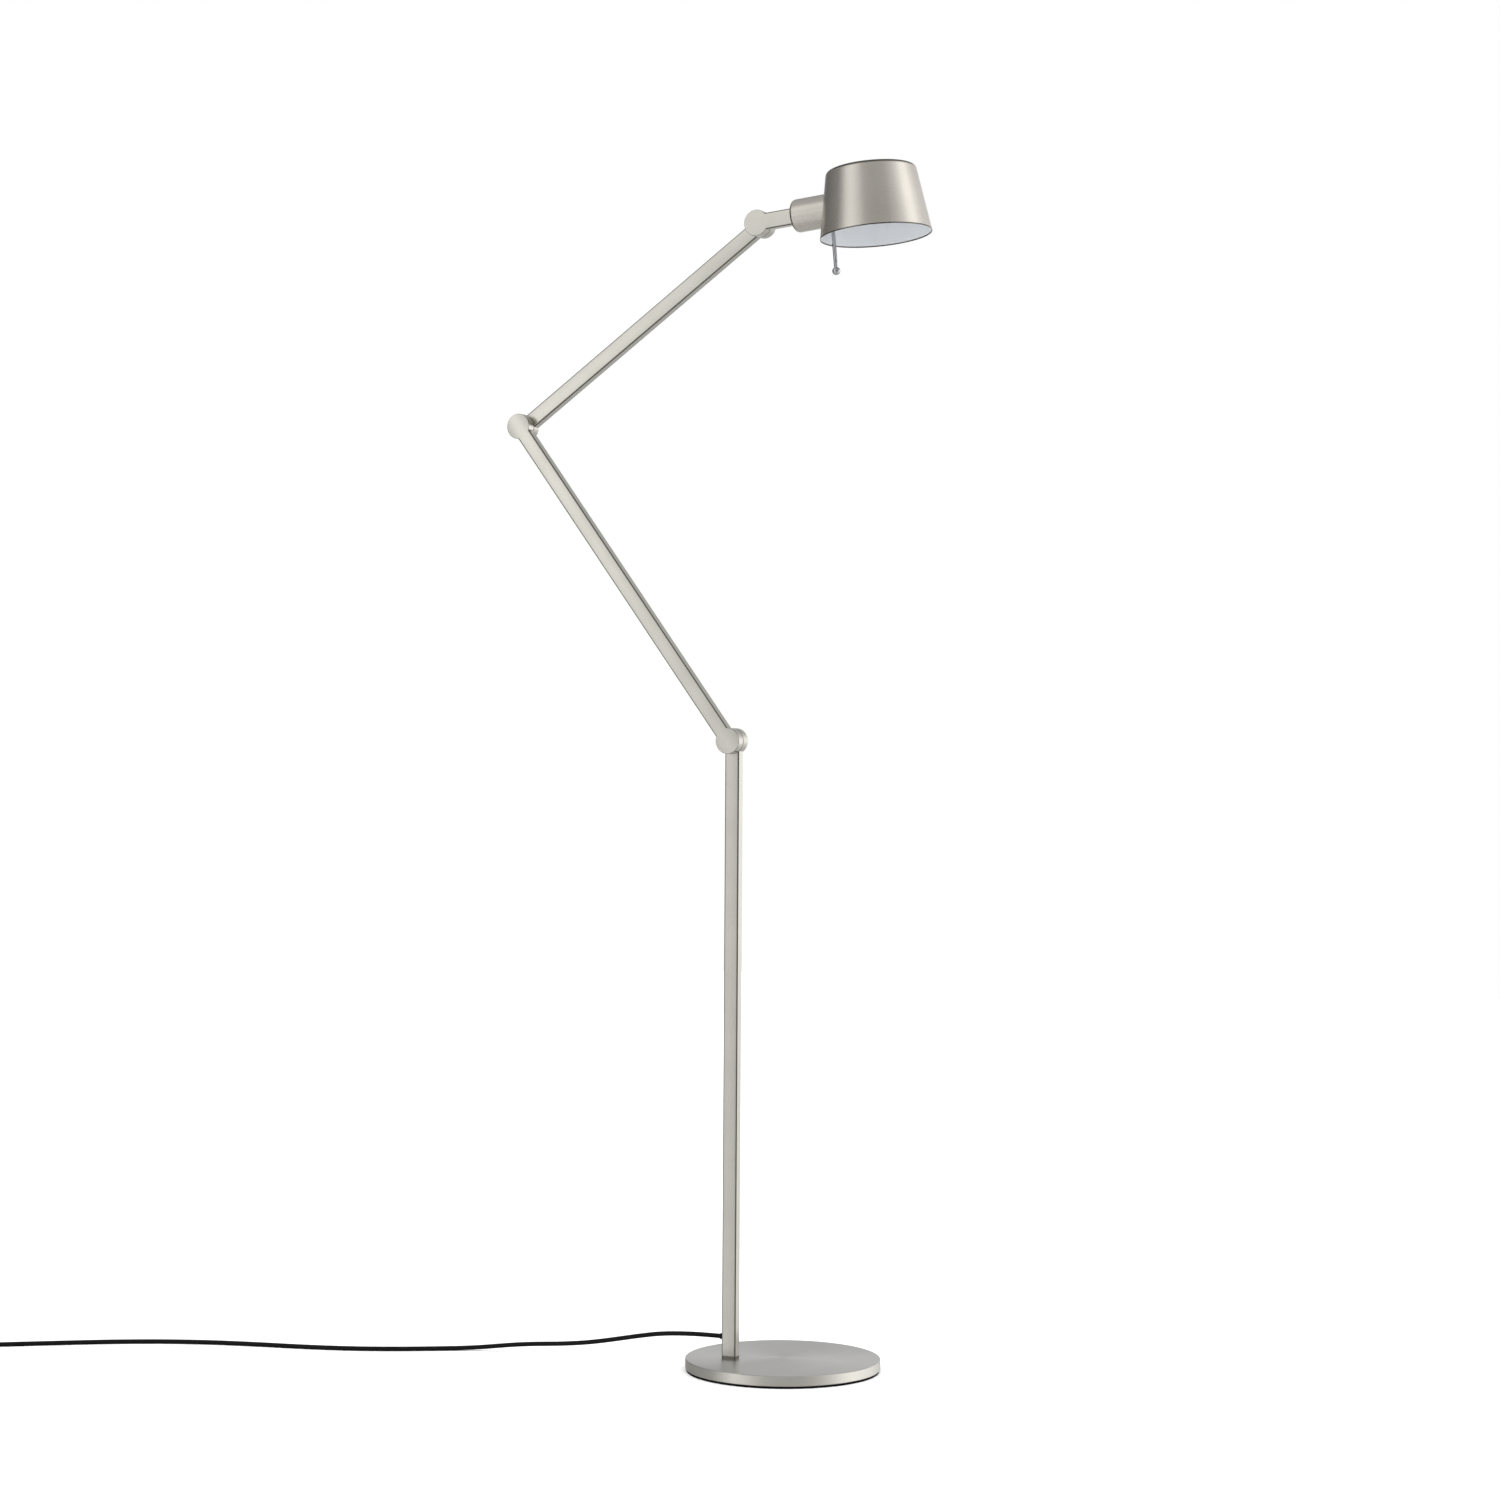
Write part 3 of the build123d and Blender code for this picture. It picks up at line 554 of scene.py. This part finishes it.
def painted_side_highlight(tree, normal, axis, side_highlight_tone, face_colour):
    """The colour of a disc whose side is mixed towards a painted highlight tone, while its flat face keeps its own
    colour.
    """
    facing = add(tree, "VectorMath", {0: normal, 1: axis}, operation="DOT_PRODUCT").outputs["Value"]
    flat = add(tree, "Math", {0: facing}, operation="ABSOLUTE").outputs[0]
    return add(
        tree,
        "Mix",
        {MIX_SHARE: flat, MIX_COLOUR_A: linear(side_highlight_tone), MIX_COLOUR_B: face_colour},
        data_type="RGBA",
    ).outputs[MIXED_COLOUR]


def enamelled_inside(tree, place, normal, along, cloud, nickel_colour, nickel_roughness):
    """Colour, roughness and metal share of the shade: white enamel on all that faces its middle, except a
    bare rim."""
    facing = add(tree, "VectorMath", {0: place, 1: normal}, operation="DOT_PRODUCT").outputs["Value"]
    turned_in = add(tree, "Math", {0: facing, 1: 0.0}, operation="LESS_THAN").outputs[0]
    above_rim = add(tree, "Math", {0: along, 1: ENAMEL_START}, operation="GREATER_THAN").outputs[0]
    inside = add(tree, "Math", {0: turned_in, 1: above_rim}, operation="MULTIPLY").outputs[0]
    white, paler_white = (linear(tone) for tone in ENAMEL_TONES)
    enamel = add(
        tree,
        "Mix",
        {MIX_SHARE: cloud, MIX_COLOUR_A: white, MIX_COLOUR_B: paler_white},
        data_type="RGBA",
    ).outputs[MIXED_COLOUR]
    colour = add(
        tree,
        "Mix",
        {MIX_SHARE: inside, MIX_COLOUR_A: nickel_colour, MIX_COLOUR_B: enamel},
        data_type="RGBA",
    ).outputs[MIXED_COLOUR]
    rough = add(
        tree,
        "Mix",
        {MIX_SHARE: inside, MIX_VALUE_A: nickel_roughness, MIX_VALUE_B: ENAMEL_ROUGHNESS},
        data_type="FLOAT",
    ).outputs[MIXED_VALUE]
    metal = add(tree, "Math", {0: 1.0, 1: inside}, operation="SUBTRACT").outputs[0]
    return colour, rough, metal


def satin_nickel(
    name,
    centre,
    axis,
    turned=False,
    white_inside=False,
    painted_edge_shade=True,
    side_highlight_tone=None,
    roughness=(0.26, 0.31),
    gloss_spread=0.5,
    tones=NICKEL_TONES,
):
    """Nickel plate over brushing: a warm pale grey whose highlights spread across the brush lines."""
    material, tree, shader = new_material(name)
    normal = add(tree, "TexCoord", {}).outputs["Normal"]
    place, along, aside = piece_places(tree, centre, axis)
    lines = brush_lines(tree, along, aside, turned)
    cloud = add(
        tree,
        "TexNoise",
        {"Vector": place, "Scale": 1 / (PLATING_CLOUD_MM * MM), "Detail": 2.0},
    ).outputs["Fac"]

    tone = add(tree, "Math", {0: lines, 1: cloud}, operation="ADD").outputs[0]
    share = add(
        tree,
        "MapRange",
        {"Value": tone, "From Min": TONE_RANGE[0], "From Max": TONE_RANGE[1]},
    ).outputs[0]
    colour = add(
        tree,
        "Mix",
        {MIX_SHARE: share, MIX_COLOUR_A: linear(tones[0]), MIX_COLOUR_B: linear(tones[1])},
        data_type="RGBA",
    ).outputs[MIXED_COLOUR]
    # Painted highlight: a disc's side is lightened to stand in for the bright reflection it shows.
    if side_highlight_tone:
        colour = painted_side_highlight(tree, normal, axis, side_highlight_tone, colour)
    # Painted shade: rounded edges are mixed towards a dark tone that stands in for the dark room they mirror.
    if painted_edge_shade:
        edge = painted_edge_shade_share(tree, normal, axis if turned else FOLD_AXIS)
        if white_inside:
            # Painted shade: on the shade, the band at the rim below the enamel is darkened to the edge tone, as a
            # dark outline.
            painted_rim_shade = add(tree, "Math", {0: along, 1: ENAMEL_START}, operation="LESS_THAN").outputs[0]
            edge = add(tree, "Math", {0: edge, 1: painted_rim_shade}, operation="MAXIMUM").outputs[0]
        colour = add(
            tree,
            "Mix",
            {MIX_SHARE: edge, MIX_COLOUR_A: colour, MIX_COLOUR_B: linear(PAINTED_EDGE_SHADE_TONE)},
            data_type="RGBA",
        ).outputs[MIXED_COLOUR]

    rough = add(
        tree,
        "MapRange",
        {
            "Value": lines,
            "From Min": LINE_RANGE[0],
            "From Max": LINE_RANGE[1],
            "To Min": roughness[0],
            "To Max": roughness[1],
        },
    ).outputs[0]
    metal = 1.0
    if white_inside:
        colour, rough, metal = enamelled_inside(tree, place, normal, along, cloud, colour, rough)

    relief = add(tree, "Bump", {"Height": lines, "Distance": BRUSH_DEPTH_MM * MM, "Strength": 1.0})
    if not turned:
        set_sockets(tree, relief, {"Normal": belt_crown(tree, place, normal, axis)})
    surface = {
        "Base Color": colour,
        "Metallic": metal,
        "Roughness": rough,
        "Anisotropic": gloss_spread,
        "Tangent": across_brush(tree, place, normal, axis, turned),
        "Normal": relief.outputs[0],
    }
    set_sockets(tree, shader, surface)
    return material


def arm_nickel():
    """Satin nickel brushed along the column, each arm and the neck, by node."""
    column = satin_nickel("column_brushed_nickel", lower_joint, UPRIGHT)
    middle_arm = satin_nickel("middle_arm_brushed_nickel", lower_joint, middle_arm_line)
    upper_arm = satin_nickel("upper_arm_brushed_nickel", elbow_joint, upper_arm_line)
    neck = satin_nickel("neck_brushed_nickel", neck_start, neck_line)
    return {
        "column_tube": column,
        # The column's foot gets darker tones: painted contact shadow at the column's bottom.
        "column_foot": satin_nickel("foot_painted_shadow_nickel", lower_joint, UPRIGHT, tones=FOOT_PAINTED_SHADOW_TONES),
        "lower_joint_rear_disc": column,
        "lower_joint_front_disc": middle_arm,
        "middle_arm_tube": middle_arm,
        "elbow_front_disc": middle_arm,
        "elbow_rear_disc": upper_arm,
        "upper_arm_tube": upper_arm,
        "head_joint_rear_disc": upper_arm,
        "head_joint_front_disc": neck,
        "neck_tube": neck,
    }


# Each arm joint's cap: its node, the name of its finish, and the middle of the marks turned into it.
JOINT_CAPS = [
    ("lower_joint_cover_cap", "lower_cap_turned_nickel", lower_joint),
    ("elbow_cover_cap", "elbow_cap_turned_nickel", elbow_joint),
    ("head_joint_cover_cap", "head_cap_turned_nickel", head_joint),
]


def turned_nickel():
    """Satin nickel brushed round the base, the cover, the shade and the joints' caps, by node."""
    return {
        "base_plate": satin_nickel(
            "base_turned_nickel",
            Vector(),
            UPRIGHT,
            turned=True,
            painted_edge_shade=False,
            side_highlight_tone=PAINTED_RIM_HIGHLIGHT_TONE,
            roughness=(0.34, 0.4),
            gloss_spread=0.45,
            tones=COOL_NICKEL_TONES,
        ),
        "holder_cover": satin_nickel(
            "cover_turned_nickel",
            neck_start,
            neck_line,
            turned=True,
            gloss_spread=0.7,
            tones=SPUN_NICKEL_TONES,
        ),
        "shade": satin_nickel(
            "shade_spun_nickel",
            shade_centre,
            shade_axis,
            turned=True,
            white_inside=True,
            gloss_spread=0.75,
            tones=SPUN_NICKEL_TONES,
        ),
        **{node: satin_nickel(name, joint, FOLD_AXIS, turned=True) for node, name, joint in JOINT_CAPS},
    }


def finish_pieces(cord):
    """Gives each nickel node its own brushing, and every other node, and the cord, the material of its
    slot in the record."""
    by_slot = {
        "polished_chrome": handle_chrome(),
        "black_foam": base_pad_foam(),
        "black_rubber": grommet_rubber(),
        "black_pvc": cord_and_plug_pvc(),
        "plug_pin_nickel": plug_pin_nickel(),
        "zinc_plated_steel": hardware_zinc(),
        "spring_steel": washer_spring_steel(),
        "black_nylon": washer_nylon(),
        "lead_silicone": lead_silicone(),
        "holder_plastic": lamp_holder_thermoset(),
        "bracket_zinc": bracket_enamel(),
        "bulb_glass": bulb_frosted_glass(),
        "bulb_cap_metal": bulb_cap_metal(),
    }
    nickel = {**arm_nickel(), **turned_nickel()}
    for part in frame["record"]["subparts"]:
        material = nickel.get(part["node"]) or by_slot[part["material_slot"]]
        for slot in nodes[part["node"]].material_slots:
            slot.material = material
    cord.data.materials.append(by_slot["black_pvc"])


# ---- Studio: a pale floor, a white surround and soft light ----
# Brightness that the metal reflects, at eye level and higher up, at each angle round the lamp in degrees:
# 0 is behind the camera, angles to its right are above 0 and those to its left below.
SURROUND = {
    -180: (0.98, 0.50),
    -165: (0.45, 0.35),
    -150: (0.14, 0.30),
    -95: (0.14, 0.42),
    -80: (0.32, 0.82),
    -68: (0.85, 1.12),
    -58: (1.22, 1.22),
    -50: (1.02, 1.10),
    -40: (0.82, 0.90),
    -25: (0.42, 0.58),
    0: (0.28, 0.52),
    25: (0.28, 0.55),
    45: (0.48, 0.76),
    60: (0.95, 0.98),
    80: (1.60, 1.50),
    95: (1.70, 1.55),
    110: (1.65, 1.05),
    130: (1.50, 0.68),
    150: (0.95, 0.52),
    180: (0.98, 0.50),
}
FULL_CIRCLE = 360
# Heights in the surround, as the upward share of the direction: eye level changes to the higher row
# between the first two, and that to the ceiling between the last two.
EYE_LEVEL_TOP = 0.15
HIGHER_UP = 0.42
CEILING_START = 0.62
CEILING_FULL = 0.9
CEILING_LEVEL = 0.6
BACKDROP_LEVEL = 1.0
FLOOR_SIZE = 14.0
FLOOR_GLOSS_SHARE = 0.76
FLOOR_GLOSS_ROUGHNESS = 0.18
OVERHEAD_STRENGTH = 2.9
WHOLE_SKY = math.pi  # the angle across a light that shines from all over the sky
SOFT_BOX_PLACE = Vector((-1.35, -1.9, 1.35))
SOFT_BOX_WIDTH = 0.5
SOFT_BOX_HEIGHT = 0.7
SOFT_BOX_POWER = 0.7


def grey(level):
    """A neutral brightness as a colour."""
    return (level, level, level, 1)


def surround_ramp(tree, share, row):
    """One row of the surround's levels, all the way round."""
    ramp = add(tree, "ValToRGB", {"Fac": share})
    ramp.color_ramp.interpolation = "EASE"
    stops = ramp.color_ramp.elements
    while len(stops) < len(SURROUND):
        stops.new(0.5)
    for stop, (degrees, levels) in zip(stops, SURROUND.items()):
        stop.position = degrees / FULL_CIRCLE + 0.5
        stop.color = grey(levels[row])
    return ramp.outputs[0]


def make_surround():
    """A white backdrop to look at. The metal reflects a broad bright side to the right, a narrower one to
    the left, dark gaps between them, and a grey ceiling."""
    world = bpy.data.worlds.new("studio")
    bpy.context.scene.world = world
    world.use_nodes = True
    tree = world.node_tree
    tree.nodes.clear()
    direction = add(tree, "TexCoord", {}).outputs["Generated"]
    turned = add(
        tree,
        "VectorRotate",
        {"Vector": direction, "Angle": -CAMERA_AZIMUTH},
        rotation_type="Z_AXIS",
    ).outputs[0]
    parts = add(tree, "SeparateXYZ", {0: turned}).outputs
    towards = add(tree, "Math", {0: parts["Y"], 1: -1.0}, operation="MULTIPLY").outputs[0]
    angle = add(tree, "Math", {0: parts["X"], 1: towards}, operation="ARCTAN2").outputs[0]
    share = add(tree, "MapRange", {"Value": angle, "From Min": -math.pi, "From Max": math.pi}).outputs[0]
    height = add(
        tree,
        "MapRange",
        {"Value": parts["Z"], "From Min": EYE_LEVEL_TOP, "From Max": HIGHER_UP},
    ).outputs[0]
    eye_level, higher_up = (surround_ramp(tree, share, row) for row in (0, 1))
    surround = add(
        tree,
        "Mix",
        {MIX_SHARE: height, MIX_COLOUR_A: eye_level, MIX_COLOUR_B: higher_up},
        data_type="RGBA",
    ).outputs[MIXED_COLOUR]
    overhead = add(
        tree,
        "MapRange",
        {"Value": parts["Z"], "From Min": CEILING_START, "From Max": CEILING_FULL},
    ).outputs[0]
    room = add(
        tree,
        "Mix",
        {MIX_SHARE: overhead, MIX_COLOUR_A: surround, MIX_COLOUR_B: grey(CEILING_LEVEL)},
        data_type="RGBA",
    ).outputs[MIXED_COLOUR]
    seen = add(tree, "LightPath", {}).outputs["Is Camera Ray"]
    shown = add(
        tree,
        "Mix",
        {MIX_SHARE: seen, MIX_COLOUR_A: room, MIX_COLOUR_B: grey(BACKDROP_LEVEL)},
        data_type="RGBA",
    ).outputs[MIXED_COLOUR]
    background = add(tree, "Background", {"Color": shown, "Strength": 1.0})
    add(tree, "OutputWorld", {"Surface": background.outputs[0]})


def studio_floor():
    """Pale satin acrylic sheet: white to look at from above, clear from below, and half glossy and darker
    where the metal mirrors it."""
    material = speckled(
        "pale_studio_floor",
        tones=("#F6F6F6", "#FAFAFA"),
        grain_mm=2.0,
        relief_mm=0.01,
        roughness=(0.9, 1.0),
        sockets={"IOR": 1.4},
    )
    tree = material.node_tree
    pale = tree.nodes["Principled BSDF"].outputs[0]
    gloss = {"Color": linear("#F0F0F0"), "Roughness": FLOOR_GLOSS_ROUGHNESS}
    sheen = add(tree, "BsdfGlossy", gloss).outputs[0]
    dull = add(tree, "BsdfDiffuse", {"Color": linear("#CCCCCC")}).outputs[0]
    half_gloss = add(tree, "MixShader", {0: FLOOR_GLOSS_SHARE, 1: dull, 2: sheen}).outputs[0]
    seen_by_metal = add(tree, "LightPath", {}).outputs["Is Glossy Ray"]
    shown = add(tree, "MixShader", {0: seen_by_metal, 1: pale, 2: half_gloss}).outputs[0]
    from_below = add(tree, "NewGeometry", {}).outputs["Backfacing"]
    clear = add(tree, "BsdfTransparent", {}).outputs[0]
    one_sided = add(tree, "MixShader", {0: from_below, 1: shown, 2: clear}).outputs[0]
    set_sockets(tree, tree.nodes["Material Output"], {"Surface": one_sided})
    return material


def make_floor():
    """A broad square of floor, level with the underside of the base."""
    mesh = bpy.data.meshes.new("floor")
    half = FLOOR_SIZE / 2
    corners = [(-half, -half, 0), (half, -half, 0), (half, half, 0), (-half, half, 0)]
    mesh.from_pydata(corners, [], [(0, 1, 2, 3)])
    floor = bpy.data.objects.new("floor", mesh)
    bpy.context.scene.collection.objects.link(floor)
    floor.data.materials.append(studio_floor())


def make_overhead_light():
    """Very soft light from all over the sky, which whitens the floor and isn't mirrored in the metal."""
    data = bpy.data.lights.new("overhead_light", "SUN")
    data.energy = OVERHEAD_STRENGTH
    data.angle = WHOLE_SKY
    light = bpy.data.objects.new("overhead_light", data)
    light.visible_glossy = False
    bpy.context.scene.collection.objects.link(light)


def make_soft_box():
    """A small soft box in front of the elbow and aimed at it. The box itself isn't seen."""
    data = bpy.data.lights.new("left_soft_box", "AREA")
    data.shape = "RECTANGLE"
    data.size = SOFT_BOX_WIDTH
    data.size_y = SOFT_BOX_HEIGHT
    data.energy = SOFT_BOX_POWER
    light = bpy.data.objects.new("left_soft_box", data)
    aim = (elbow_joint - SOFT_BOX_PLACE).to_track_quat("-Z", "Y")
    light.matrix_world = Matrix.Translation(SOFT_BOX_PLACE) @ aim.to_matrix().to_4x4()
    light.visible_camera = False
    bpy.context.scene.collection.objects.link(light)


bpy.context.scene.view_settings.view_transform = "Standard"
make_camera()
mains_cord = make_cord()
finish_pieces(mains_cord)
make_surround()
make_floor()
make_overhead_light()
make_soft_box()
